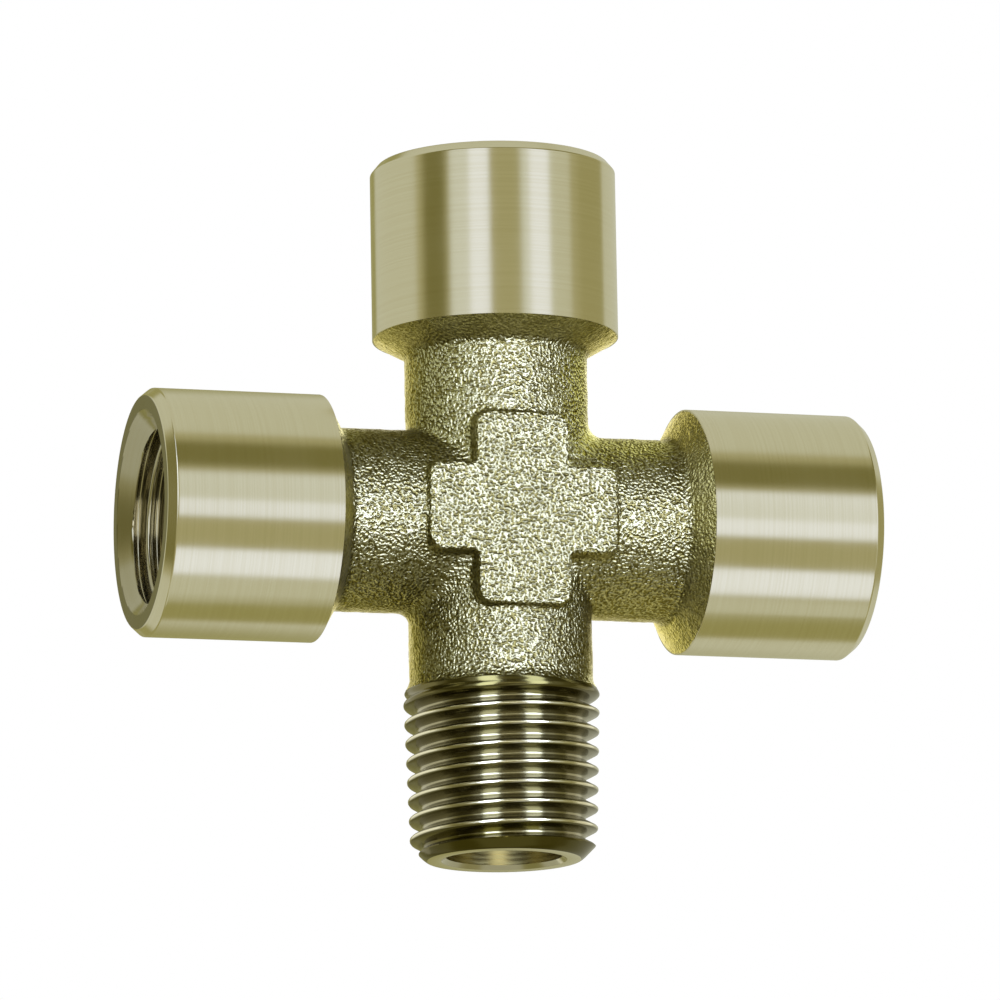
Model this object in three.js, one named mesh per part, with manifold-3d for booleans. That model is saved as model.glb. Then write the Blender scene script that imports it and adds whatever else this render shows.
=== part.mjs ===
// Cross fitting for quarter-inch pipe: a forged cross with three female sockets and one male taper thread.
// Millimetres, +Z up. The origin is the centre of the male thread's end face, the male thread and the top
// socket share the Z axis, and the two side sockets share an axis along X. -Y is the front.
import * as THREE from 'three';
import { mergeVertices } from 'three/addons/utils/BufferGeometryUtils.js';
import Module from 'manifold-3d';

const wasm = await Module();
wasm.setup();

// Layout, measured from the crossing of the two axes unless it says otherwise
const CROSSING_HEIGHT = 23.3; // above the male end face
const PORT_REACH = 25.3; // to each female port's end face
const SEAT_REACH = 13.1; // to the plane where a socket's turned surface meets the forging
const SPIGOT_TOP = 11.7; // height of the plane where the male thread meets the forging

// Sockets
const SOCKET_RADIUS = 8.5;
const RIM_CHAMFER = 0.5; // off the radius
const RIM_CHAMFER_LENGTH = 0.6; // along the axis
const MOUTH_RADIUS = 7.03; // outer edge of the countersink at the port
const MOUTH_DEPTH = 1.2;
const SOCKET_THREAD_DEPTH = 10.5;
const DRILL_POINT_ANGLE = THREE.MathUtils.degToRad(59);

// Forged limbs
const NECK_RADIUS = 6.3;
const PASSAGE_RADIUS = 4;
const COLLAR_ROUND = 0.2; // edge of the collar behind a socket
const COLLAR_SLOPE = THREE.MathUtils.degToRad(60);
const NECK_FILLET = 0.4;
const FLARE_HEIGHT = 0.9; // where the lower neck swells to the male thread
const FLARE_RADIUS = 6.6;

// Fillet in the corner between a vertical and a horizontal limb
const CORNER_FILLET = 0.8; // its radius in the plane of the axes
const CORNER_HALF_WIDTH = 5.4; // from that plane to its ends under the pads
const CORNER_END_SHRINK = 0.95; // how far its radius follows an ellipse towards the ends
const CORNER_BURIED = 0.3; // depth of its legs inside the limbs

// Cross-shaped pad on the front and on the back of the forging
const PAD_REACH = 6.7; // from the crossing to the pad's face
const PAD_SPAN = 13.3;
const PAD_UPRIGHT_WIDTH = 6.5;
const PAD_CROSSBAR_WIDTH = 6.1;
const PAD_CORNER = 1;
const PAD_INNER_CORNER = 0.4;
const PAD_EDGE = 0.2;

// Thread: 19 threads to the inch, the same on the male and the female side
const PITCH = 25.4 / 19;
const THREAD_MAJOR_RADIUS = 6.5785;
const THREAD_HEIGHT = 0.856;
const CREST_HALF = 0.08; // half of the flat on a crest, in pitches
const GAUGE_HEIGHT = 6; // where the male taper thread has its full diameter
const TAPER = 1 / 32; // change of radius along the male thread
const CREST_START = 11.5; // height of a male crest on the +X side
const RUN_OUT = 1.1; // length over which the male groove fades into the forging
const MALE_CHAMFER = 1.05;
const BORE_CHAMFER = 0.3;
const SWELL_HEIGHT = 0.4; // from the seam with the forging down to the full diameter
const BLANK_ALLOWANCE = 0.3; // the blank is this much larger than the crests

// The thread form as [phase in pitches, depth]: a crest flat, a flank, a root flat and the flank back up.
const THREAD_PROFILE = [
  [-CREST_HALF, 0],
  [CREST_HALF, 0],
  [0.5 - CREST_HALF, THREAD_HEIGHT],
  [0.5 + CREST_HALF, THREAD_HEIGHT],
];

// Faceting
const LIMB_SEGMENTS = 32;
const THREAD_SEGMENTS = 24;
const ARC_STEPS = 3;
const CORNER_STATIONS = 10; // sections along a corner fillet

// Turns a closed three.js geometry into a manifold solid.
function toSolid(geometry) {
  const shell = geometry.clone();
  shell.deleteAttribute('normal');
  shell.deleteAttribute('uv');
  const merged = mergeVertices(shell);
  const corners = Array.from(merged.index.array);
  const triVerts = [];
  for (let i = 0; i < corners.length; i += 3) {
    const [a, b, c] = corners.slice(i, i + 3);
    if (a !== b && b !== c && c !== a) triVerts.push(a, b, c);
  }
  return new wasm.Manifold(
    new wasm.Mesh({
      numProp: 3,
      vertProperties: new Float32Array(merged.attributes.position.array),
      triVerts: new Uint32Array(triVerts),
    }),
  );
}

// Turns a manifold solid back into a three.js geometry.
function toGeometry(solid) {
  const { vertProperties, triVerts } = solid.getMesh();
  const geometry = new THREE.BufferGeometry();
  geometry.setAttribute('position', new THREE.BufferAttribute(vertProperties, 3));
  geometry.setIndex(new THREE.BufferAttribute(triVerts, 1));
  geometry.computeVertexNormals();
  return geometry;
}

// A solid of revolution about Z from [radius, height] points that run up the outside.
function turned(profile, segments) {
  const outline = [...profile, profile[0]].map(([r, h]) => new THREE.Vector2(r, h));
  return new THREE.LatheGeometry(outline, segments).rotateX(Math.PI / 2);
}

// A plain cylinder along Z between two heights.
function rod(radius, from, to, segments) {
  return turned([[0, from], [radius, from], [radius, to], [0, to]], segments);
}

// Points on an arc in the [radius, height] plane; both ends are included.
function arc(centreRadius, centreHeight, radius, fromAngle, toAngle) {
  return Array.from({ length: ARC_STEPS + 1 }, (_, i) => {
    const angle = fromAngle + ((toAngle - fromAngle) * i) / ARC_STEPS;
    return [centreRadius + radius * Math.cos(angle), centreHeight + radius * Math.sin(angle)];
  });
}

// A closed geometry from a list of points and a list of triangles.
function shellFrom(points, triangles) {
  const geometry = new THREE.BufferGeometry();
  geometry.setAttribute('position', new THREE.Float32BufferAttribute(points.flat(), 3));
  geometry.setIndex(triangles.flat());
  return geometry;
}

// A solid right-hand screw along +Z. Its rows follow the helix: the point of row j at step i stands at the
// angle 2*pi*i/steps, and one full turn of a row lands on the row one pitch higher. radiusAt gives the
// surface for a height and a depth below the crest.
function screw({ crestHeight, from, to, radiusAt }) {
  const steps = THREAD_SEGMENTS;
  const rowsPerPitch = THREAD_PROFILE.length;
  const firstPitch = Math.floor((from - crestHeight) / PITCH) - 1;
  const pitches = Math.ceil((to - from) / PITCH) + 2;
  const rows = pitches * rowsPerPitch;
  const points = [];
  const place = (j, i) => {
    const [phase, depth] = THREAD_PROFILE[j % rowsPerPitch];
    const turns = firstPitch + Math.floor(j / rowsPerPitch) + phase + i / steps;
    const height = crestHeight + turns * PITCH;
    const angle = (2 * Math.PI * i) / steps;
    const radius = radiusAt(height, depth);
    points.push([radius * Math.cos(angle), radius * Math.sin(angle), height]);
  };
  for (let j = 0; j <= rows + rowsPerPitch; j++) place(j, 0);
  for (let i = 1; i < steps; i++) {
    for (let j = 0; j <= rows; j++) place(j, i);
  }
  const seamCount = rows + rowsPerPitch + 1;
  const at = (j, i) => {
    if (i === 0) return j;
    if (i === steps) return j + rowsPerPitch;
    return seamCount + (i - 1) * (rows + 1) + j;
  };
  const bottom = points.push([0, 0, points[0][2]]) - 1;
  const top = points.push([0, 0, points[seamCount - 1][2]]) - 1;
  const triangles = [];
  for (let i = 0; i < steps; i++) {
    for (let j = 0; j < rows; j++) {
      triangles.push([at(j, i), at(j, i + 1), at(j + 1, i + 1)], [at(j, i), at(j + 1, i + 1), at(j + 1, i)]);
    }
    triangles.push([bottom, at(0, i + 1), at(0, i)], [top, at(rows, i), at(rows, i + 1)]);
  }
  for (let j = 0; j < rowsPerPitch; j++) {
    triangles.push([bottom, at(j, 0), at(j + 1, 0)], [top, at(rows + j + 1, 0), at(rows + j, 0)]);
  }
  return shellFrom(points, triangles);
}

// One female socket along +Z, with the crossing at height 0: turned outside, threaded hole, drilled floor.
function socketSolid() {
  const outside = turned(
    [
      [0, SEAT_REACH],
      [SOCKET_RADIUS, SEAT_REACH],
      [SOCKET_RADIUS, PORT_REACH - RIM_CHAMFER_LENGTH],
      [SOCKET_RADIUS - RIM_CHAMFER, PORT_REACH],
      [0, PORT_REACH],
    ],
    LIMB_SEGMENTS,
  );
  const minor = THREAD_MAJOR_RADIUS - THREAD_HEIGHT;
  const overrun = 1; // the cutters run past the solid by this much
  const threadFloor = PORT_REACH - SOCKET_THREAD_DEPTH;
  const pointDepth = (minor - PASSAGE_RADIUS) / Math.tan(DRILL_POINT_ANGLE);
  const drilling = turned(
    [
      [0, SEAT_REACH - overrun],
      [PASSAGE_RADIUS, SEAT_REACH - overrun],
      [PASSAGE_RADIUS, threadFloor - pointDepth],
      [minor, threadFloor],
      [0, threadFloor],
    ],
    THREAD_SEGMENTS,
  );
  const mouthFlare = ((MOUTH_RADIUS - minor) * overrun) / MOUTH_DEPTH;
  const mouth = turned(
    [
      [0, PORT_REACH - MOUTH_DEPTH - overrun],
      [minor - mouthFlare, PORT_REACH - MOUTH_DEPTH - overrun],
      [MOUTH_RADIUS + mouthFlare, PORT_REACH + overrun],
      [0, PORT_REACH + overrun],
    ],
    LIMB_SEGMENTS,
  );
  const thread = screw({
    crestHeight: threadFloor,
    from: threadFloor,
    to: PORT_REACH + overrun,
    radiusAt: (height, depth) => THREAD_MAJOR_RADIUS - depth,
  });
  const tapped = toSolid(rod(SOCKET_RADIUS, threadFloor, PORT_REACH + overrun, LIMB_SEGMENTS));
  return toSolid(outside)
    .subtract(toSolid(drilling))
    .subtract(toSolid(mouth))
    .subtract(toSolid(thread).intersect(tapped));
}

// The male spigot: a tapered screw whose groove fades out at the top, in a blank that gives it its two ends,
// the chamfer and the bore.
function spigotSolid() {
  const crestRadius = (height) => THREAD_MAJOR_RADIUS + (height - GAUGE_HEIGHT) * TAPER;
  const chamferTop = MALE_CHAMFER + BLANK_ALLOWANCE;
  const swellTop = SPIGOT_TOP - SWELL_HEIGHT;
  const endRadius = crestRadius(MALE_CHAMFER) - MALE_CHAMFER;
  const blank = turned(
    [
      [PASSAGE_RADIUS + BORE_CHAMFER, 0],
      [endRadius, 0],
      [endRadius + chamferTop, chamferTop],
      [crestRadius(swellTop) + BLANK_ALLOWANCE, swellTop],
      [FLARE_RADIUS, SPIGOT_TOP],
      [PASSAGE_RADIUS, SPIGOT_TOP],
      [PASSAGE_RADIUS, BORE_CHAMFER],
    ],
    LIMB_SEGMENTS,
  );
  const fade = (height) => THREE.MathUtils.clamp((SPIGOT_TOP - height) / RUN_OUT, 0, 1);
  const thread = screw({
    crestHeight: CREST_START,
    from: 0,
    to: SPIGOT_TOP,
    radiusAt: (height, depth) => crestRadius(height) - depth * fade(height),
  });
  return toSolid(blank).intersect(toSolid(thread));
}

// The outline of a collar and the neck below it, from the socket's seat down to the neck.
function collarOutline() {
  const round = arc(SOCKET_RADIUS - COLLAR_ROUND, SEAT_REACH, COLLAR_ROUND, 0, -COLLAR_SLOPE);
  const [slopeRadius, slopeHeight] = round.at(-1);
  const filletCentre = NECK_RADIUS + NECK_FILLET;
  const filletRadius = filletCentre - NECK_FILLET * Math.cos(COLLAR_SLOPE);
  const filletHeight = slopeHeight - (slopeRadius - filletRadius) / Math.tan(COLLAR_SLOPE);
  const filletBase = filletHeight - NECK_FILLET * Math.sin(COLLAR_SLOPE);
  const fillet = arc(filletCentre, filletBase, NECK_FILLET, Math.PI - COLLAR_SLOPE, Math.PI);
  return [...round, ...fillet];
}

// The two limbs of the forging, both centred on the crossing: one to the side sockets, one up and down.
function sideLimb() {
  const right = collarOutline();
  const left = right.map(([r, h]) => [r, -h]);
  const outline = [[0, -SEAT_REACH], ...left, ...right.reverse(), [0, SEAT_REACH]];
  return turned(outline, LIMB_SEGMENTS).rotateY(Math.PI / 2);
}

function uprightLimb() {
  const foot = SPIGOT_TOP - CROSSING_HEIGHT;
  const swell = FLARE_RADIUS - NECK_RADIUS;
  const flare = Array.from({ length: ARC_STEPS + 1 }, (_, i) => {
    const t = i / ARC_STEPS;
    return [NECK_RADIUS + swell * (1 - t) ** 2, foot + FLARE_HEIGHT * t];
  });
  const outline = [[0, foot], ...flare, ...collarOutline().reverse(), [0, SEAT_REACH]];
  return turned(outline, LIMB_SEGMENTS);
}

// The fillet in the corner between two limbs: its section follows the line where the two necks meet.
function cornerFillet() {
  const points = [];
  for (let s = 0; s <= CORNER_STATIONS; s++) {
    const across = (2 * s) / CORNER_STATIONS - 1;
    const y = CORNER_HALF_WIDTH * across;
    const corner = Math.sqrt(NECK_RADIUS ** 2 - y ** 2);
    const radius = CORNER_FILLET * Math.sqrt(1 - (CORNER_END_SHRINK * across) ** 2);
    const bend = arc(corner + radius, corner + radius, radius, -Math.PI / 2, -Math.PI);
    const start = corner - CORNER_BURIED;
    const end = corner + radius;
    const section = [[start, start], [end, start], ...bend, [start, end]];
    section.forEach(([x, z]) => points.push([x, y, z]));
  }
  const sectionSize = points.length / (CORNER_STATIONS + 1);
  const triangles = [];
  const last = CORNER_STATIONS * sectionSize;
  for (let k = 0; k < sectionSize; k++) {
    const next = (k + 1) % sectionSize;
    for (let base = 0; base < last; base += sectionSize) {
      const above = base + sectionSize;
      triangles.push([base + k, above + next, base + next], [base + k, above + k, above + next]);
    }
    if (k > 0 && next > 0) triangles.push([0, k, next], [last, last + next, last + k]);
  }
  return shellFrom(points, triangles);
}

// A closed outline through [x, y, radius] corners, each rounded by its own radius.
function roundedOutline(corners) {
  const outline = new THREE.Shape();
  corners.forEach(([x, y, radius], i) => {
    const corner = new THREE.Vector2(x, y);
    const before = new THREE.Vector2(...corners.at(i - 1));
    const after = new THREE.Vector2(...corners[(i + 1) % corners.length]);
    const start = before.sub(corner).setLength(radius).add(corner);
    const end = after.sub(corner).setLength(radius).add(corner);
    if (i === 0) outline.moveTo(start.x, start.y);
    else outline.lineTo(start.x, start.y);
    outline.quadraticCurveTo(x, y, end.x, end.y);
  });
  outline.closePath();
  return outline;
}

// The cross-shaped pads: one plate right through the forging, so both of its faces stand proud.
function padPlate() {
  const upright = PAD_UPRIGHT_WIDTH / 2 - PAD_EDGE;
  const crossbar = PAD_CROSSBAR_WIDTH / 2 - PAD_EDGE;
  const reach = PAD_SPAN / 2 - PAD_EDGE;
  const rightArm = [[upright, -crossbar, PAD_INNER_CORNER], [reach, -crossbar, PAD_CORNER],
    [reach, crossbar, PAD_CORNER], [upright, crossbar, PAD_INNER_CORNER]];
  const topEnd = [[upright, reach, PAD_CORNER], [-upright, reach, PAD_CORNER]];
  const opposite = ([x, y, radius]) => [-x, -y, radius];
  const corners = [...rightArm, ...topEnd, ...rightArm.map(opposite), ...topEnd.map(opposite)];
  const plate = new THREE.ExtrudeGeometry(roundedOutline(corners), {
    depth: 2 * (PAD_REACH - PAD_EDGE),
    curveSegments: ARC_STEPS,
    bevelThickness: PAD_EDGE,
    bevelSize: PAD_EDGE,
    bevelSegments: 1,
  });
  return plate.translate(0, 0, PAD_EDGE - PAD_REACH).rotateX(Math.PI / 2);
}

// The forging: both limbs, the corner fillets and the pads, drilled along both axes.
function forgingSolid() {
  const reachPastEnds = PORT_REACH;
  const drill = rod(PASSAGE_RADIUS, -reachPastEnds, reachPastEnds, THREAD_SEGMENTS);
  const corners = [0, 1, 2, 3].map((turn) => cornerFillet().rotateY((turn * Math.PI) / 2));
  const solids = [sideLimb(), uprightLimb(), padPlate(), ...corners].map(toSolid);
  const forging = solids.reduce((whole, solid) => whole.add(solid));
  return forging.subtract(toSolid(drill)).subtract(toSolid(drill.clone().rotateY(Math.PI / 2)));
}

// Nickel plate: grainy where the brass was forged and shot blasted, bright where it was turned
function forgedNickel() {
  return new THREE.MeshStandardMaterial({ color: '#c2bd97', roughness: 0.5, metalness: 1 });
}

function turnedNickel() {
  return new THREE.MeshStandardMaterial({ color: '#cbc8a6', roughness: 0.28, metalness: 1 });
}

// Adds one named piece to a group.
function addPiece(group, name, solid, material) {
  const mesh = new THREE.Mesh(toGeometry(solid), material);
  mesh.name = name;
  group.add(mesh);
}

// A group centred on the crossing, turned about the front-to-back axis by the given angle.
function limbGroup(angle) {
  const group = new THREE.Group();
  group.position.z = CROSSING_HEIGHT;
  group.rotation.y = angle;
  return group;
}

const crossFitting = new THREE.Group();
const centre = limbGroup(0);
const leftLimb = limbGroup(-Math.PI / 2);
const rightLimb = limbGroup(Math.PI / 2);
crossFitting.add(centre, leftLimb, rightLimb);

const socket = socketSolid();
addPiece(centre, 'forged_body', forgingSolid(), forgedNickel());
addPiece(centre, 'top_socket', socket, turnedNickel());
addPiece(leftLimb, 'left_socket', socket, turnedNickel());
addPiece(rightLimb, 'right_socket', socket, turnedNickel());
addPiece(crossFitting, 'male_spigot', spigotSolid(), turnedNickel());

export default crossFitting;
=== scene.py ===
"""Cross pipe fitting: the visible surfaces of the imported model, its studio and its camera.

Everything is in metres in the model's own frame: +Z up along the male thread and the top socket, +X out of
the right socket, -Y the front. The lengths that describe a surface are written in millimetres times MM.
"""

import math

import bmesh
import bpy
import numpy as np
from mathutils import Matrix, Vector, noise


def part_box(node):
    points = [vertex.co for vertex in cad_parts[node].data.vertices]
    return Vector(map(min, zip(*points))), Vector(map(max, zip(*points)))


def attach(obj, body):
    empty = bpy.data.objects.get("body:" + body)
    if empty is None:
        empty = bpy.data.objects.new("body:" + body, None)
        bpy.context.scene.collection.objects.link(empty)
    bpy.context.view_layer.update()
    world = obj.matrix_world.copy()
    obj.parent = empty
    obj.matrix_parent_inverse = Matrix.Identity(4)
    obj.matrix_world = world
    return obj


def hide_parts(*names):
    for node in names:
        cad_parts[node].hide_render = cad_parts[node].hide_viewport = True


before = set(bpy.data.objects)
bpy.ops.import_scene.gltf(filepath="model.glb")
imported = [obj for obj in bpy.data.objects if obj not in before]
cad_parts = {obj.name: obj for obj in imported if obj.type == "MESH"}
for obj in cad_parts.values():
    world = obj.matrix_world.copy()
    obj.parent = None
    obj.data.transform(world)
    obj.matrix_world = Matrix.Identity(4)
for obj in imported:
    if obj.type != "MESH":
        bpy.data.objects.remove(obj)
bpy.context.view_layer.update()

MM = 0.001
SEED_SHIFT = Vector((11.3, 4.7, 8.1))  # moves the noise away from its zero at the origin

# From the frame
side_low, side_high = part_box("right_socket")
spigot_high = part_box("male_spigot")[1]
SOCKET_RADIUS = (side_high.z - side_low.z) / 2
CROSSING = Vector((0, 0, (side_high.z + side_low.z) / 2))
PORT_REACH = side_high.x
SEAT_REACH = side_low.x
SPIGOT_TOP = spigot_high.z

# Quarter-inch pipe thread: 19 threads to the inch, 55 degree form with rounded crests and roots
PITCH = 25.4 * MM / 19
THREAD_MAJOR = 6.5785 * MM
THREAD_HEIGHT = 0.856 * MM
THREAD_MINOR = THREAD_MAJOR - THREAD_HEIGHT
FLANK_ANGLE = math.radians(27.5)
CREST_ROUND = 0.1373 * PITCH
GAUGE_HEIGHT = 6 * MM
TAPER = 1 / 32  # change of radius along the male thread
MALE_CREST = 11.5 * MM  # height of a crest on the +X side
MALE_CHAMFER = 1.05 * MM
MALE_RUN_OUT = 1.1 * MM
MALE_END_ROUND = 0.3 * MM  # height over which the chamfer rounds into the end face
MALE_END_PULL = 0.4 * MALE_END_ROUND  # how far that draws the end face in
MALE_SWELL_SLOPE = 0.5  # growth of radius below the forging, where the groove fades
MALE_BLEND = 0.06 * MM  # softens the edge between thread and chamfer

# Sockets
RIM_CHAMFER = 0.5 * MM  # off the radius
RIM_CHAMFER_LENGTH = 0.6 * MM  # along the axis
MOUTH_RADIUS = 7.03 * MM
MOUTH_DEPTH = 1.2 * MM
SOCKET_THREAD_DEPTH = 10.5 * MM
SOCKET_RUN_OUT = 1.0 * MM
MOUTH_BLEND = 0.05 * MM  # softens the edge between thread and countersink
DRILL_POINT = math.radians(59)
EDGE_BREAK = 0.05 * MM  # small round on a turned edge

# Forging
PASSAGE_RADIUS = 4.0 * MM
FLARE_RADIUS = 6.6 * MM
BORE_CHAMFER = 0.3 * MM

# Mesh fineness
TURN_STEPS = 144
ROWS_PER_PITCH = 18
FORGING_VOXEL = 0.17 * MM
WELD = 0.001 * MM


# ---------------------------------------------------------------- meshes


def thread_depth(height, angle, crest_height):
    """Depth below the crest of a right-hand thread: arcs at crest and root, joined by straight flanks."""
    phase = (height - crest_height) / PITCH - angle / (2 * math.pi)
    along = np.abs(phase - np.round(phase)) * PITCH
    tangent = CREST_ROUND * math.cos(FLANK_ANGLE)
    round_depth = CREST_ROUND * (1 - math.sin(FLANK_ANGLE))
    crest = CREST_ROUND - np.sqrt(np.maximum(CREST_ROUND**2 - np.minimum(along, tangent) ** 2, 0))
    from_root = PITCH / 2 - along
    root = CREST_ROUND - np.sqrt(np.maximum(CREST_ROUND**2 - np.minimum(from_root, tangent) ** 2, 0))
    flank = round_depth + (along - tangent) / math.tan(FLANK_ANGLE)
    depth = np.where(along < tangent, crest, flank)
    return np.where(from_root < tangent, THREAD_HEIGHT - root, depth)


def smooth_min(a, b, width):
    """The smaller of two lengths, rounded where they cross."""
    blend = np.clip(0.5 + 0.5 * (b - a) / width, 0, 1)
    return b + (a - b) * blend - width * blend * (1 - blend)


def columns(radii, heights):
    """Vertices of a grid whose columns stand at equal angles round Z; the last column meets the first."""
    angles = np.linspace(0, 2 * math.pi, TURN_STEPS + 1)[None, :]
    radii, heights = np.broadcast_arrays(radii, heights)
    return np.stack([radii * np.cos(angles), radii * np.sin(angles), heights + 0 * angles], axis=-1)


def grid_faces(rows, first):
    """Quads between the rows of a grid of vertices, numbered from first."""
    width = TURN_STEPS + 1
    faces = []
    for j in range(rows - 1):
        row = range(first + j * width, first + j * width + TURN_STEPS)
        faces += [(i, i + 1, i + 1 + width, i + width) for i in row]
    return faces


def screw_grid(low, high, radius_at):
    """A threaded surface from low to high. Rows follow the helix, and what passes an end is pulled back."""
    rows = math.ceil(((high - low) / PITCH + 1) * ROWS_PER_PITCH) + 1
    angles = np.linspace(0, 2 * math.pi, TURN_STEPS + 1)[None, :]
    turns = np.arange(rows)[:, None] / ROWS_PER_PITCH + angles / (2 * math.pi) - 1
    heights = np.clip(low + turns * PITCH, low, high)
    return columns(radius_at(heights, angles), heights)


def turned_grid(outline):
    """A surface of revolution about Z through (radius, height) points."""
    radii = np.array([r for r, _ in outline])[:, None]
    heights = np.array([h for _, h in outline])[:, None]
    return columns(radii, heights)


def welded_mesh(name, grids):
    """One closed mesh from grids that share their edge vertices."""
    points, faces = [], []
    for grid in grids:
        faces += grid_faces(grid.shape[0], len(points))
        points += [tuple(p) for p in grid.reshape(-1, 3)]
    mesh = bpy.data.meshes.new(name)
    mesh.from_pydata(points, [], faces)
    bm = bmesh.new()
    bm.from_mesh(mesh)
    bmesh.ops.remove_doubles(bm, verts=bm.verts, dist=WELD)
    bmesh.ops.dissolve_degenerate(bm, edges=bm.edges, dist=WELD)
    bmesh.ops.recalc_face_normals(bm, faces=bm.faces)
    bm.to_mesh(mesh)
    bm.free()
    return mesh


def broken_edge(before, corner, after, size=EDGE_BREAK):
    """Points that round an outline's corner, with one more on each side so that the flats stay flat."""
    corner = Vector(corner)
    back = (Vector(before) - corner).normalized() * size
    ahead = (Vector(after) - corner).normalized() * size
    middle = corner + (back + ahead) / 4
    return [tuple(p) for p in (corner + 2 * back, corner + back, middle, corner + ahead, corner + 2 * ahead)]


def rounded_outline(points, size=EDGE_BREAK):
    """An outline with every inner corner rounded."""
    outline = [points[0]]
    for before, corner, after in zip(points, points[1:], points[2:]):
        outline += broken_edge(before, corner, after, size)
    return outline + [points[-1]]


def add_piece(name, mesh, node, materials, sharp_angle=35):
    """Adds a finished mesh to the object in place of a CAD node."""
    mesh.name = name
    mesh.shade_smooth()
    mesh.set_sharp_from_angle(angle=math.radians(sharp_angle))
    mesh.materials.clear()
    for material in materials:
        mesh.materials.append(material)
    piece = bpy.data.objects.new(name, mesh)
    bpy.context.scene.collection.objects.link(piece)
    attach(piece, "root")
    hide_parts(node)
    return piece


def evaluated_mesh(mesh, kind, **settings):
    """The mesh after one modifier."""
    carrier = bpy.data.objects.new("carrier", mesh)
    bpy.context.scene.collection.objects.link(carrier)
    modifier = carrier.modifiers.new("step", kind)
    for key, value in settings.items():
        setattr(modifier, key, value)
    graph = bpy.context.evaluated_depsgraph_get()
    result = bpy.data.meshes.new_from_object(carrier.evaluated_get(graph))
    bpy.data.objects.remove(carrier)
    return result


def set_tone(mesh, tone_at):
    """Stores the tone of painted light and shade, from 0 to 1, at each vertex of a mesh."""
    tone = mesh.attributes.new("tone", "FLOAT", "POINT")
    for vertex, value in zip(mesh.vertices, tone.data):
        value.value = tone_at(vertex.co)


# ---------------------------------------------------------------- sockets

# Tones: how bright a surface is painted, from 0 to 1. Below 1 is painted shade: in a groove, where light
# doesn't reach, and on the port's face and mouth.
OUTSIDE_TONE = 1.0
GROOVE_SHADE_TONE = 0.05
CREST_TONE = 1.0
PORT_FACE_SHADE_TONE = 0.15
MOUTH_SHADE_TONE = 0.6
MOUTH_SLOPE = (MOUTH_RADIUS - THREAD_MINOR) / MOUTH_DEPTH
MOUTH_SLACK = 0.04 * MM  # what lies this close to the countersink has its painted shade
GROOVE_SHARE = 1 / 3  # part of the thread's height over which the painted shade deepens


def socket_painted_shade(place):
    """Bright outside; painted shade on the port's face and mouth, and darker painted shade down in the
    thread.
    """
    radius, height = math.hypot(place.x, place.y), place.z
    if radius > SOCKET_RADIUS - RIM_CHAMFER - EDGE_BREAK / 2:
        return OUTSIDE_TONE
    if height > PORT_REACH - WELD:
        return PORT_FACE_SHADE_TONE
    if radius > MOUTH_RADIUS - (PORT_REACH - height) * MOUTH_SLOPE - MOUTH_SLACK:
        return MOUTH_SHADE_TONE
    depth = max(radius - THREAD_MINOR, 0) / THREAD_HEIGHT
    return CREST_TONE + (GROOVE_SHADE_TONE - CREST_TONE) * min(depth / GROOVE_SHARE, 1)


def socket_mesh(name, crest_turn):
    """A female socket along +Z with the crossing at height 0; crest_turn turns the thread's start."""
    floor = PORT_REACH - SOCKET_THREAD_DEPTH

    def bore_radius(height, angle):
        depth = thread_depth(height, angle, floor + crest_turn * PITCH)
        fade = np.clip((height - floor) / SOCKET_RUN_OUT, 0, 1)
        thread = THREAD_MINOR + (THREAD_HEIGHT - depth) * fade
        mouth = MOUTH_RADIUS - (PORT_REACH - height) * MOUTH_SLOPE
        return -smooth_min(-thread, -mouth, MOUTH_BLEND)

    point_depth = (THREAD_MINOR - PASSAGE_RADIUS) / math.tan(DRILL_POINT)
    outside = rounded_outline([
        (MOUTH_RADIUS, PORT_REACH),
        (SOCKET_RADIUS - RIM_CHAMFER, PORT_REACH),
        (SOCKET_RADIUS, PORT_REACH - RIM_CHAMFER_LENGTH),
        (SOCKET_RADIUS, SEAT_REACH),
    ])
    inside = [(PASSAGE_RADIUS, SEAT_REACH), (PASSAGE_RADIUS, floor - point_depth), (THREAD_MINOR, floor)]
    grids = [screw_grid(floor, PORT_REACH, bore_radius), turned_grid(outside + inside)]
    return welded_mesh(name, grids)


def add_sockets(along_z, along_x):
    """The three female sockets, each made along +Z and turned to its port."""
    quarter = math.pi / 2
    # name, node, turn about Y, material, and the turn at which the thread starts
    ports = [
        ("upper_female_socket", "top_socket", 0, along_z, 0.15),
        ("left_female_socket", "left_socket", -quarter, along_x, 0.6),
        ("right_female_socket", "right_socket", quarter, along_x, 0.35),
    ]
    pieces = {}
    for name, node, turn, material, crest_turn in ports:
        mesh = socket_mesh(name, crest_turn)
        set_tone(mesh, socket_painted_shade)
        mesh.transform(Matrix.Translation(CROSSING) @ Matrix.Rotation(turn, 4, "Y"))
        pieces[node] = add_piece(name, mesh, node, [material])
    return pieces


# ---------------------------------------------------------------- male thread

# (depth below the crest as a part of the thread's height, tone): painted shade that leaves a thin bright
# crest, with a dark painted line beside it and a dull painted flank that lightens towards the root
THREAD_SHADE_TONES = ((0, 1.0), (0.025, 0.35), (0.07, 0.0), (0.16, 0.0), (0.3, 0.16), (0.65, 0.16), (1, 0.3))
# Painted shade on the run-out, the chamfer, the end face and the bore's edge
RUN_OUT_SHADE_TONE = 0.04
CHAMFER_SHADE_TONE = 0.0
END_FACE_SHADE_TONE = 0.9
BORE_EDGE_SHADE_TONE = 0.6


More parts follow.
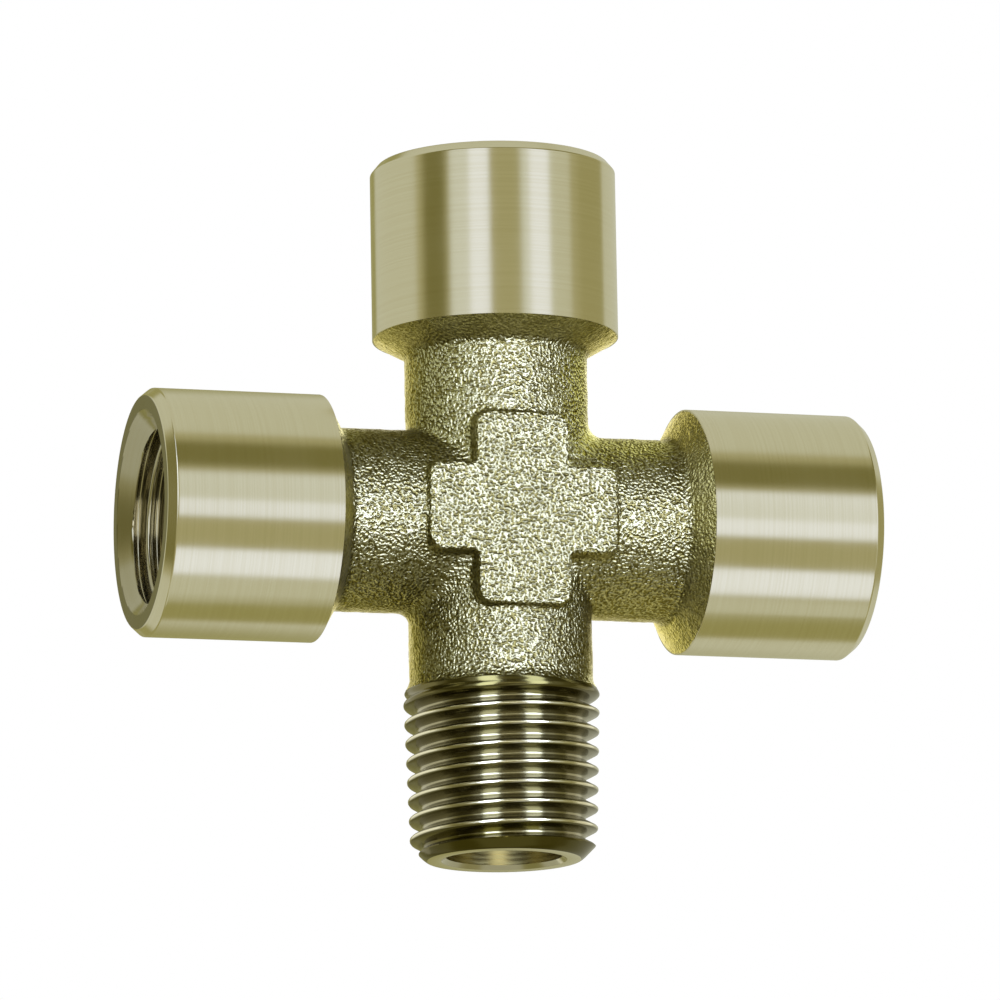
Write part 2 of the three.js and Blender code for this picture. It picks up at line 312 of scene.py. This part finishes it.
def spigot_painted_shade(place):
    """Painted shade: bright crests, dull flanks and roots, and a dark chamfer round a brighter end face."""
    radius, height = math.hypot(place.x, place.y), place.z
    if radius < PASSAGE_RADIUS + BORE_CHAMFER + WELD:
        return BORE_EDGE_SHADE_TONE
    if height < WELD:
        return END_FACE_SHADE_TONE
    if height < MALE_CHAMFER:
        return CHAMFER_SHADE_TONE
    if height > SPIGOT_TOP - MALE_RUN_OUT:
        return RUN_OUT_SHADE_TONE
    crest = THREAD_MAJOR + (height - GAUGE_HEIGHT) * TAPER
    depths, tones = zip(*THREAD_SHADE_TONES)
    return float(np.interp((crest - radius) / THREAD_HEIGHT, depths, tones))


def add_spigot(outside, drilled):
    """The male taper thread with its chamfered end and its bore."""
    end_radius = THREAD_MAJOR + (MALE_CHAMFER - GAUGE_HEIGHT) * TAPER - MALE_CHAMFER
    end_turns = range(30, 91, 10)  # degrees of the rounding, from the chamfer to the end face
    end_heights = [MALE_END_ROUND * (1 - math.sin(math.radians(turn))) for turn in end_turns]
    thread_start = end_heights[0]

    def chamfer_radius(height):
        over = np.maximum(MALE_END_ROUND - height, 0) / MALE_END_ROUND
        return end_radius + height - MALE_END_PULL * (1 - np.sqrt(1 - over**2))

    def skin_radius(height, angle):
        crest = THREAD_MAJOR + (height - GAUGE_HEIGHT) * TAPER
        run_out = np.clip((SPIGOT_TOP - height) / MALE_RUN_OUT, 0, 1)
        run_in = np.clip((height - thread_start) / thread_start, 0, 1)
        thread = crest - thread_depth(height, angle, MALE_CREST) * run_out * run_in
        swell = FLARE_RADIUS + (SPIGOT_TOP - height) * MALE_SWELL_SLOPE
        return smooth_min(thread, np.minimum(chamfer_radius(height), swell), MALE_BLEND)

    end_and_bore = [(float(chamfer_radius(height)), height) for height in end_heights] + [
        (PASSAGE_RADIUS + BORE_CHAMFER + EDGE_BREAK, 0),
        (PASSAGE_RADIUS + BORE_CHAMFER, 0),
        (PASSAGE_RADIUS, BORE_CHAMFER),
        (PASSAGE_RADIUS, SPIGOT_TOP),
        (FLARE_RADIUS, SPIGOT_TOP),
    ]
    grids = [screw_grid(thread_start, SPIGOT_TOP, skin_radius), turned_grid(end_and_bore)]
    mesh = welded_mesh("male_taper_thread", grids)
    set_tone(mesh, spigot_painted_shade)
    piece = add_piece("male_taper_thread", mesh, "male_spigot", [outside, drilled])
    for face in mesh.polygons:
        if math.hypot(face.center.x, face.center.y) < PASSAGE_RADIUS:
            face.material_index = 1
    return piece


# ---------------------------------------------------------------- forging

# The forging's surface is the zero of a distance made of simple solids, in millimetres from the crossing.
NECK = 6.3
COLLAR = 8.5
COLLAR_SLOPE = math.radians(60)
COLLAR_CORNER = SEAT_REACH / MM + 0.05  # where the collar's slope would reach its full radius
COLLAR_ROUND = 0.1
COLLAR_BLEND = 0.25  # length over which the collar's painted light sets in
NECK_FILLET = 0.3
PAD_REACH = 6.7
PAD_HALF_SPAN = 6.65
PAD_UPRIGHT_HALF = 3.25
PAD_CROSSBAR_HALF = 3.05
PAD_CORNER = 1.0
PAD_INNER_CORNER = 0.3
PAD_EDGE = 0.18
PAD_DRAFT = 0.12
PAD_FOOT = 0.2
FLARE_START = 0.9  # height above the male thread
FOOT = (SPIGOT_TOP - CROSSING.z) / MM  # where the forging ends below
OVERLENGTH = 1.0  # of the blank past each seat, cut off later
DRILL_OVERTRAVEL = 1.5
RELIEF = ((3.0, 0.03), (0.9, 0.022), (0.42, 0.03))  # size and depth of the unevenness of the skin
FITTING_STEPS = 6  # times that the skin is pulled onto the surface
FITTING_SHARE = 0.9  # part of the remaining distance covered each time
DRILLED_WITHIN = 1.02 * PASSAGE_RADIUS  # in metres; faces this close to an axis belong to a passage


def round_union(a, b, radius):
    """Distance to two solids joined with a fillet."""
    inner = np.hypot(np.maximum(radius - a, 0), np.maximum(radius - b, 0))
    return np.maximum(radius, np.minimum(a, b)) - inner


def round_cut(a, b, radius):
    """Distance to what two solids share, with a rounded edge."""
    return -round_union(-a, -b, radius)


def limb_distance(reach, radius, neck):
    """A neck with a collar behind the socket."""
    slope = (radius - COLLAR) * math.cos(COLLAR_SLOPE) - (reach - COLLAR_CORNER) * math.sin(COLLAR_SLOPE)
    collar = round_cut(radius - COLLAR, slope, COLLAR_ROUND)
    return round_union(radius - neck, collar, NECK_FILLET)


def plate_distance(x, z, half_width, half_height):
    """A rectangle with rounded corners."""
    dx = np.abs(x) - (half_width - PAD_CORNER)
    dz = np.abs(z) - (half_height - PAD_CORNER)
    outside = np.hypot(np.maximum(dx, 0), np.maximum(dz, 0))
    return outside + np.minimum(np.maximum(dx, dz), 0) - PAD_CORNER


def corner_radius(x, z):
    """Radius of the fillet between two limbs; the four corners of the die differ a little."""
    right, up = np.tanh(x), np.tanh(z)
    return 0.66 + 0.01 * right + 0.09 * up + 0.24 * right * up


def forging_distance(p):
    """Signed distance in millimetres from points, in millimetres from the crossing, to the forging."""
    x, y, z = p[:, 0], p[:, 1], p[:, 2]
    flare = (FLARE_RADIUS / MM - NECK) * np.clip((FOOT + FLARE_START - z) / FLARE_START, 0, 1.2) ** 2
    side = limb_distance(np.abs(x), np.hypot(y, z), NECK)
    upright = limb_distance(z, np.hypot(x, y), NECK + flare)
    cross = round_union(side, upright, corner_radius(x, z))
    bar = plate_distance(x, z, PAD_HALF_SPAN, PAD_CROSSBAR_HALF)
    post = plate_distance(x, z, PAD_UPRIGHT_HALF, PAD_HALF_SPAN)
    outline = round_union(bar, post, PAD_INNER_CORNER)
    lift = np.abs(y) - PAD_REACH
    pad = round_cut(outline + PAD_DRAFT * lift, lift, PAD_EDGE)
    return round_union(cross, pad, PAD_FOOT)


def blank_distance(p):
    """Signed distance to the blank: the forging with flat ends a little past the seats."""
    reach = np.maximum(np.abs(p[:, 0]), p[:, 2]) - SEAT_REACH / MM
    past_end = np.maximum(reach, FOOT - p[:, 2]) - OVERLENGTH
    return np.maximum(forging_distance(p), past_end)


def blank_normal(p):
    """Direction in which the blank's distance grows."""
    step = 0.01
    normal = np.zeros_like(p)
    for axis in range(3):
        shift = np.zeros(3)
        shift[axis] = step
        normal[:, axis] = blank_distance(p + shift) - blank_distance(p - shift)
    return normal / np.maximum(np.linalg.norm(normal, axis=1, keepdims=True), 1e-9)


def skin_relief(p):
    """Unevenness of the blasted skin, in millimetres."""
    relief = np.zeros(len(p))
    for size, depth in RELIEF:
        relief += [depth * noise.noise(Vector(point) / size + SEED_SHIFT) for point in p]
    return relief


def rough_forging():
    """Overlapping closed solids close to the forging, a little longer than it at every end."""
    end = SEAT_REACH / MM + OVERLENGTH
    limb = [(0, end), (COLLAR, end), (COLLAR, COLLAR_CORNER), (NECK, COLLAR_CORNER - 1.2)]
    side = limb + [(r, -h) for r, h in reversed(limb)]
    upright = limb + [(NECK, FOOT - OVERLENGTH), (0, FOOT - OVERLENGTH)]
    bm = bmesh.new()
    for outline, turn in ((side, math.pi / 2), (upright, 0)):
        mesh = welded_mesh("limb", [turned_grid(outline)])
        mesh.transform(Matrix.Rotation(turn, 4, "Y"))
        bm.from_mesh(mesh)
    for half_x, half_z in ((PAD_HALF_SPAN, PAD_CROSSBAR_HALF), (PAD_UPRIGHT_HALF, PAD_HALF_SPAN)):
        size = Matrix.Diagonal((2 * half_x, 2 * PAD_REACH, 2 * half_z, 1))
        bmesh.ops.create_cube(bm, size=1, matrix=size)
    mesh = bpy.data.meshes.new("rough_forging")
    bm.to_mesh(mesh)
    bm.free()
    return mesh


def trim_ends(mesh):
    """Cuts the forging flat at its four seats, in millimetres from the crossing."""
    seat = SEAT_REACH / MM
    cuts = [(seat, 0, 0), (-seat, 0, 0), (0, 0, seat), (0, 0, FOOT)]
    bm = bmesh.new()
    bm.from_mesh(mesh)
    for cut in cuts:
        plane = Vector(cut)
        geometry = bm.verts[:] + bm.edges[:] + bm.faces[:]
        made = bmesh.ops.bisect_plane(bm, geom=geometry, plane_co=plane, plane_no=plane, clear_outer=True)
        edges = [e for e in made["geom_cut"] if isinstance(e, bmesh.types.BMEdge)]
        bmesh.ops.edgeloop_fill(bm, edges=edges)
    bmesh.ops.recalc_face_normals(bm, faces=bm.faces)
    bm.to_mesh(mesh)
    bm.free()


def drill(mesh, turn):
    """Drills the passage along Z, or along X with a quarter turn."""
    reach = SEAT_REACH / MM + DRILL_OVERTRAVEL
    radius = PASSAGE_RADIUS / MM
    outline = [(0, -reach), (radius, -reach), (radius, reach), (0, reach)]
    cutter_mesh = welded_mesh("drill", [turned_grid(outline)])
    cutter_mesh.transform(Matrix.Rotation(turn, 4, "Y"))
    cutter = bpy.data.objects.new("drill", cutter_mesh)
    bpy.context.scene.collection.objects.link(cutter)
    result = evaluated_mesh(mesh, "BOOLEAN", object=cutter, operation="DIFFERENCE", solver="MANIFOLD")
    bpy.data.objects.remove(cutter)
    return result


def forging_painted_light(place):
    """Painted light: brighter on the collars, in millimetres from the crossing."""
    reach = max(abs(place.x), place.z)
    foot = COLLAR_CORNER - (COLLAR - NECK) / math.tan(COLLAR_SLOPE)
    return min(max((reach - foot) / COLLAR_BLEND, 0), 1)


def add_forging(skin, drilled):
    """The forged cross: a fine skin pulled onto the forging's surface, trimmed and drilled."""
    mesh = evaluated_mesh(rough_forging(), "REMESH", mode="VOXEL", voxel_size=FORGING_VOXEL / MM)
    points = np.zeros(len(mesh.vertices) * 3)
    mesh.vertices.foreach_get("co", points)
    points = points.reshape(-1, 3)
    for _ in range(FITTING_STEPS):
        points -= FITTING_SHARE * blank_distance(points)[:, None] * blank_normal(points)
    points += skin_relief(points)[:, None] * blank_normal(points)
    mesh.vertices.foreach_set("co", points.ravel())
    trim_ends(mesh)
    for turn in (0, math.pi / 2):
        mesh = drill(mesh, turn)
    set_tone(mesh, forging_painted_light)
    mesh.transform(Matrix.Translation(CROSSING) @ Matrix.Scale(MM, 4))
    piece = add_piece("cross_forging", mesh, "forged_body", [skin, drilled], 50)
    for face in mesh.polygons:
        offset = face.center - CROSSING
        if min(math.hypot(offset.x, offset.y), math.hypot(offset.y, offset.z)) < DRILLED_WITHIN:
            face.material_index = 1
    return piece


# ---------------------------------------------------------------- materials


# Base colours. The forging's are darker than real nickel plate, because its lamps are strong, and paler on
# the collars as painted light.
# The painted shade is what a tone of 0 gives on a turned surface. The tint warms the metal where it is seen
# at a low angle.
EDGE_TINT = (0.8, 0.74, 0.45, 1)
SKIN_GAPS = (0.10, 0.083, 0.017, 1)
SKIN_LUMPS = (0.22, 0.20, 0.072, 1)
COLLAR_PAINTED_LIGHT_GAPS = (0.26, 0.23, 0.07, 1)
COLLAR_PAINTED_LIGHT_LUMPS = (0.38, 0.34, 0.125, 1)
DRILLED_DARK = (0.27, 0.235, 0.10, 1)
DRILLED_LIGHT = (0.33, 0.29, 0.13, 1)
TURNED_PAINTED_SHADE = (0.10, 0.085, 0.02, 1)
TURNED_DARK = (0.765, 0.72, 0.535, 1)
TURNED_LIGHT = (0.795, 0.755, 0.58, 1)


class NodeTree:
    """Adds and links the nodes of one material or world."""

    def __init__(self, tree):
        self.tree = tree
        tree.nodes.clear()

    def add(self, kind, settings=None, **sockets):
        """A node with its properties set, and its inputs set or linked; __ stands for a space in a name."""
        node = self.tree.nodes.new(kind)
        for key, value in (settings or {}).items():
            setattr(node, key, value)
        for key, value in sockets.items():
            self.feed(node, key.replace("__", " "), value)
        return node

    def feed(self, node, key, value):
        """Sets or links one input."""
        socket = node.inputs[int(key[1:])] if key[:1] == "i" and key[1:].isdigit() else node.inputs[key]
        if isinstance(value, bpy.types.NodeSocket):
            self.tree.links.new(value, socket)
        else:
            socket.default_value = value

    def math(self, operation, a, b=0.0):
        """The output of a Math node."""
        return self.add("ShaderNodeMath", {"operation": operation}, i0=a, i1=b).outputs[0]

    def ramp(self, value, low, high, to_low=0.0, to_high=1.0):
        """A smooth step of value from low to high."""
        settings = {"interpolation_type": "SMOOTHSTEP"}
        node = self.add("ShaderNodeMapRange", settings, i0=value, i1=low, i2=high, i3=to_low, i4=to_high)
        return node.outputs[0]

    def mix(self, factor, a, b):
        """The output of a colour Mix node."""
        node = self.add("ShaderNodeMix", {"data_type": "RGBA"})
        self.feed(node, "i0", factor)
        self.feed(node, "i6", a)
        self.feed(node, "i7", b)
        return node.outputs[2]


def metal(name):
    """A material with an empty node tree, its tree and its metal shader."""
    material = bpy.data.materials.new(name)
    material.use_nodes = True
    nodes = NodeTree(material.node_tree)
    shader = nodes.add("ShaderNodeBsdfPrincipled", Metallic=1.0)
    nodes.add("ShaderNodeOutputMaterial", Surface=shader.outputs[0])
    return material, nodes, shader


def forged_nickel():
    """Nickel plate on a shot-blasted forging: small lumps with darker gaps, both paler on the collars as
    painted light.
    """
    material, nodes, shader = metal("forged_nickel")
    place = nodes.add("ShaderNodeTexCoord").outputs["Object"]
    grain = nodes.add("ShaderNodeTexNoise", Vector=place, Scale=5200.0, Detail=0.6, Roughness=0.5).outputs[0]
    lump = nodes.ramp(grain, 0.41, 0.54)
    cloud = nodes.add("ShaderNodeTexNoise", Vector=place, Scale=420.0, Detail=3.0).outputs[0]
    tone = nodes.add("ShaderNodeAttribute", {"attribute_name": "tone"}).outputs["Fac"]
    strength = nodes.ramp(tone, 0.0, 1.0, 1.0, 0.6)
    bump = nodes.add("ShaderNodeBump", Strength=strength, Distance=0.16 * MM, Height=grain).outputs[0]
    nodes.feed(shader, "Normal", bump)
    nodes.feed(shader, "Specular Tint", EDGE_TINT)
    skin = nodes.mix(lump, SKIN_GAPS, SKIN_LUMPS)
    # Painted light: paler colours on the collars
    collar = nodes.mix(lump, COLLAR_PAINTED_LIGHT_GAPS, COLLAR_PAINTED_LIGHT_LUMPS)
    nodes.feed(shader, "Base Color", nodes.mix(tone, skin, collar))
    nodes.feed(shader, "Roughness", nodes.ramp(cloud, 0.3, 0.7, 0.30, 0.38))
    return material


def drilled_nickel():
    """Thin plate over a drilled bore: rougher than the turned faces, with the drill's rings."""
    material, nodes, shader = metal("drilled_nickel")
    place = nodes.add("ShaderNodeTexCoord").outputs["Object"]
    bands = {"bands_direction": "Z"}
    rings = nodes.add("ShaderNodeTexWave", bands, Vector=place, Scale=900.0, Distortion=2.0)
    bump = nodes.add("ShaderNodeBump", Strength=0.4, Distance=0.01 * MM, Height=rings.outputs[1])
    nodes.feed(shader, "Normal", bump.outputs[0])
    nodes.feed(shader, "Specular Tint", EDGE_TINT)
    nodes.feed(shader, "Base Color", nodes.mix(rings.outputs[1], DRILLED_DARK, DRILLED_LIGHT))
    nodes.feed(shader, "Roughness", nodes.ramp(rings.outputs[1], 0.0, 1.0, 0.27, 0.33))
    return material


def turned_nickel(name, axis):
    """Nickel plate on turned brass with painted shade from the tone, and fine turning lines round an axis: 0
    for X, 2 for Z.
    """
    material, nodes, shader = metal(name)
    place = nodes.add("ShaderNodeTexCoord").outputs["Object"]
    stretch = [40.0, 40.0, 40.0]
    stretch[axis] = 9000.0
    lines_place = nodes.add("ShaderNodeMapping", Vector=place, Scale=stretch).outputs[0]
    lines = nodes.add("ShaderNodeTexNoise", Vector=lines_place, Scale=1.0, Detail=2.0, Roughness=0.6)
    cloud = nodes.add("ShaderNodeTexNoise", Vector=place, Scale=300.0, Detail=3.0)
    bump = nodes.add("ShaderNodeBump", Strength=0.3, Distance=0.003 * MM, Height=lines.outputs[0])
    nodes.feed(shader, "Normal", bump.outputs[0])
    shade = nodes.ramp(lines.outputs[0], 0.3, 0.7)
    bright = nodes.mix(shade, TURNED_DARK, TURNED_LIGHT)
    tone = nodes.add("ShaderNodeAttribute", {"attribute_name": "tone"}).outputs["Fac"]
    # Painted shade: a low tone darkens the base colour
    nodes.feed(shader, "Base Color", nodes.mix(tone, TURNED_PAINTED_SHADE, bright))
    nodes.feed(shader, "Roughness", nodes.ramp(cloud.outputs[0], 0.3, 0.7, 0.14, 0.17))
    return material


# ---------------------------------------------------------------- studio

# What the metal mirrors, as colours: panels, the room between them, and dark screens
OLIVE = (0.41, 0.385, 0.205)
DEEP_OLIVE = (0.36, 0.335, 0.155)
BEIGE = (0.58, 0.58, 0.46)
PANEL = (0.94, 0.98, 1.12)
HALF_PANEL = (0.70, 0.72, 0.68)
SCREEN = (0.19, 0.172, 0.05)
SHADE = (0.33, 0.31, 0.12)

# (colour, azimuth from and to, elevation from and to, softness) in degrees; azimuth 0 is the front, 90 is +X
STUDIO = [
    (DEEP_OLIVE, 72, 108, -45, 60, 8),
    (BEIGE, -181, 181, -95, -66, 6),
    (BEIGE, 38, 62, -30, 45, 6),
    (SCREEN, -85, -61, -45, 66, 10),
    (SCREEN, -62, 100, 33, 57, 9),
    (HALF_PANEL, -57, -34, -12, 40, 5),
    (PANEL, -38, -19, -12, 40, 5),
    (HALF_PANEL, 10.5, 24, -5, 28, 8),
    (PANEL, 10.5, 39, -12.5, 3, 6),
    (PANEL, 19, 39, -8, 28, 6),
    (PANEL, 4, 46, -65, -41, 6),
    (SHADE, 95, 181, -74, -52, 9),
    (SHADE, -181, -95, -74, -52, 9),
    (SHADE, 163, 181, -52, 60, 9),
    (SHADE, -181, -163, -52, 60, 9),
]
OPEN_SKY = 65  # the room is light above this elevation
BACK_LEFT = -93  # and behind these azimuths
BACK_RIGHT = 107
BACK_LOW = -50


def studio():
    """A white surround for the camera and the floor, and a studio of soft panels for the metal to mirror."""
    world = bpy.data.worlds.new("studio")
    world.use_nodes = True
    bpy.context.scene.world = world
    nodes = NodeTree(world.node_tree)
    direction = nodes.add("ShaderNodeTexCoord").outputs["Generated"]
    parts = nodes.add("ShaderNodeSeparateXYZ", Vector=direction).outputs
    azimuth = nodes.math("ARCTAN2", parts[0], nodes.math("MULTIPLY", parts[1], -1.0))
    elevation = nodes.math("ARCSINE", parts[2])

    def step(value, at, soft):
        return nodes.ramp(value, math.radians(at - soft / 2), math.radians(at + soft / 2))

    def between(value, low, high, soft):
        above = step(value, low, soft)
        return nodes.math("MULTIPLY", above, nodes.math("SUBTRACT", 1.0, step(value, high, soft)))

    behind = nodes.math("SUBTRACT", 1.0, between(azimuth, BACK_LEFT, BACK_RIGHT, 8))
    behind = nodes.math("MULTIPLY", behind, step(elevation, BACK_LOW, 8))
    light = nodes.math("MAXIMUM", behind, step(elevation, OPEN_SKY, 6))
    colour = nodes.mix(light, (*OLIVE, 1), (*BEIGE, 1))
    for tone, left, right, low, high, soft in STUDIO:
        across = between(azimuth, left, right, soft)
        mask = nodes.math("MULTIPLY", across, between(elevation, low, high, soft))
        colour = nodes.mix(mask, colour, (*tone, 1))
    mirrored = nodes.add("ShaderNodeBackground", Color=colour, Strength=1.0).outputs[0]
    white = nodes.add("ShaderNodeBackground", Color=(1, 1, 1, 1), Strength=1.0).outputs[0]
    glossy = nodes.add("ShaderNodeLightPath").outputs["Is Glossy Ray"]
    surround = nodes.add("ShaderNodeMixShader", i0=glossy, i1=white, i2=mirrored).outputs[0]
    nodes.add("ShaderNodeOutputWorld", Surface=surround)


LIGHT_DISTANCE = 0.9
COOL = (0.36, 0.42, 1.0)
PALE = (0.64, 0.73, 1.0)
WHITE = (1.0, 1.0, 1.0)


def toward(azimuth, elevation):
    """The direction at an azimuth and an elevation in degrees."""
    around, up = math.radians(azimuth), math.radians(elevation)
    return Vector((math.sin(around) * math.cos(up), -math.cos(around) * math.cos(up), math.sin(up)))


def area_light(piece, place, back, width, height, radiance, tint):
    """A soft box that lights one piece; back is the direction it faces away from."""
    name = piece.name + "_light"
    data = bpy.data.lights.new(name, "AREA")
    data.shape = "RECTANGLE"
    data.size = width
    data.size_y = height
    data.energy = radiance * math.pi * width * height
    data.color = tint
    light = bpy.data.objects.new(name, data)
    light.location = place
    light.rotation_euler = back.to_track_quat("Z", "Y").to_euler()
    light.visible_camera = False
    bpy.context.scene.collection.objects.link(light)
    lit = bpy.data.collections.new(name)
    lit.objects.link(piece)
    light.light_linking.receiver_collection = lit


def soft_light(piece, azimuth, elevation, width, height, radiance, tint):
    """A distant soft box aimed at the crossing; width and height are angles in degrees."""
    back = toward(azimuth, elevation)
    spread = [2 * LIGHT_DISTANCE * math.tan(math.radians(angle / 2)) for angle in (width, height)]
    area_light(piece, CROSSING + back * LIGHT_DISTANCE, back, *spread, radiance, tint)


# Azimuth, elevation, width, height and strength of each piece's soft boxes, and their tint
FORGING_LAMPS = [
    (4, 5, 100, 30, 26.0, COOL),
    (-85, 25, 50, 40, 3.4, PALE),
    (125, 35, 50, 40, 5.0, PALE),
    (150, -58, 70, 26, 2.1, WHITE),
    (172, 8, 60, 40, 2.5, WHITE),
]
LEFT_SOCKET_LAMPS = [(-42, 28, 26, 60, 0.9, PALE)]
SPIGOT_LAMPS = [
    (-33, 10, 22, 90, 8.0, PALE),
    (29, 10, 22, 90, 7.5, PALE),
    (-2, 3, 36, 8, 1.8, WHITE),
    (-135, 10, 70, 80, 0.5, WHITE),
    (105, 10, 40, 80, 0.5, WHITE),
]


def lamps(forging, left_socket, spigot):
    """Soft boxes round the pieces, and a small lamp inside the left port and inside the male bore."""
    for piece, boxes in ((forging, FORGING_LAMPS), (left_socket, LEFT_SOCKET_LAMPS), (spigot, SPIGOT_LAMPS)):
        for box in boxes:
            soft_light(piece, *box)
    front = Vector((0, -1, 0))
    # Each stands near the front wall of its bore: 3 mm inside the port's face, and 3.5 mm above the male end
    in_port = Vector((3 * MM - PORT_REACH, -0.8 * THREAD_MINOR, CROSSING.z))
    area_light(left_socket, in_port, front, 4 * MM, 6 * MM, 1.5, WHITE)
    in_bore = Vector((0.0, -0.9 * PASSAGE_RADIUS, 3.5 * MM))
    area_light(spigot, in_bore, front, 3 * MM, 6 * MM, 2.4, WHITE)


FLOOR_HALF = 6.0  # metres, half of its side
FLOOR_DROP = 0.75  # metres below the male end
FLOOR_COLOUR = (0.86, 0.86, 0.85, 1)


def floor():
    """A plain pale floor, far enough below the fitting for a camera to look up at it."""
    mesh = bpy.data.meshes.new("floor")
    outline = ((-1, -1), (1, -1), (1, 1), (-1, 1))
    corners = [(x * FLOOR_HALF, y * FLOOR_HALF, -FLOOR_DROP) for x, y in outline]
    mesh.from_pydata(corners, [], [(0, 1, 2, 3)])
    material = bpy.data.materials.new("pale_floor")
    material.use_nodes = True
    shader = material.node_tree.nodes["Principled BSDF"]
    shader.inputs["Base Color"].default_value = FLOOR_COLOUR
    shader.inputs["Roughness"].default_value = 0.9
    mesh.materials.append(material)
    plane = bpy.data.objects.new("floor", mesh)
    bpy.context.scene.collection.objects.link(plane)
    plane.visible_glossy = False
    plane.visible_shadow = False


# Camera, from the crossing: angles in degrees, distances in metres and the lens in millimetres
VIEW_AZIMUTH = -15.9
VIEW_ELEVATION = -11.3
VIEW_ROLL = 1.0
VIEW_DISTANCE = 0.6
LENS = 314.0
CROSSING_IN_VIEW = Vector((-0.11 * MM, -1.76 * MM))  # from the middle of the picture, right and up


def camera():
    """A long lens a little to the left of the front and below the side sockets."""
    back = toward(VIEW_AZIMUTH, VIEW_ELEVATION)
    level = back.to_track_quat("Z", "Y").to_matrix().to_4x4()
    turn = level @ Matrix.Rotation(-math.radians(VIEW_ROLL), 4, "Z")
    shift = turn @ Vector((CROSSING_IN_VIEW.x, CROSSING_IN_VIEW.y, 0))
    data = bpy.data.cameras.new("camera")
    data.lens = LENS
    data.clip_start = 0.01
    viewer = bpy.data.objects.new("camera", data)
    bpy.context.scene.collection.objects.link(viewer)
    viewer.matrix_world = Matrix.Translation(CROSSING + back * VIEW_DISTANCE - shift) @ turn
    bpy.context.scene.camera = viewer


# ---------------------------------------------------------------- the scene

bpy.context.scene.view_settings.view_transform = "Standard"
turned_z = turned_nickel("turned_nickel_upright", 2)
turned_x = turned_nickel("turned_nickel_side", 0)
camera()
studio()
floor()
left_socket = add_sockets(turned_z, turned_x)["left_socket"]
drilled = drilled_nickel()
spigot = add_spigot(turned_z, drilled)
forging = add_forging(forged_nickel(), drilled)
lamps(forging, left_socket, spigot)
